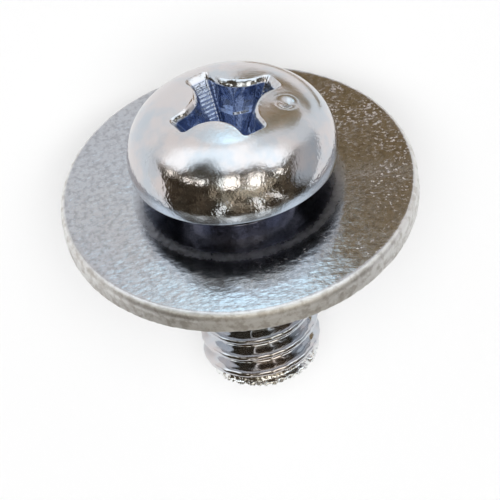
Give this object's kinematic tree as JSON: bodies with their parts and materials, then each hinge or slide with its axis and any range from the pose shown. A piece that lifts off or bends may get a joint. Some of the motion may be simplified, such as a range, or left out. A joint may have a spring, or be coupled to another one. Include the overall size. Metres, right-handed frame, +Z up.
{
  "type": "machine screw with captive washer",
  "caption": "Pan head machine screw with a cross recess and a loose flat washer kept on its neck by the rolled thread, lying on the washer's rim and the screw's tip.",
  "frame": {"origin": "on the table, under the middle of the part's box, as the part lies on the washer's rim and the screw's tip", "axes": "+Z up from the table; the screw's axis lies in the XZ plane and its head points to +X and 31 degrees up; +Y across the washer"},
  "size_m": [0.011, 0.0118, 0.0098],
  "materials": {
    "screw_zinc": "bright zinc plate, glossy",
    "washer_zinc": "bright zinc plate, semi-gloss with a fine grain"
  },
  "bodies": {
    "screw": {"screw": "screw_zinc"},
    "washer": {"washer": "washer_zinc"}
  },
  "joints": [
    {"name": "washer_spin", "type": "hinge", "parent": "screw", "child": "washer", "pos_m": [0.00115, 0, 0.00496], "axis": [0.8006, 0, 0.5992], "continuous": true}
  ]
}
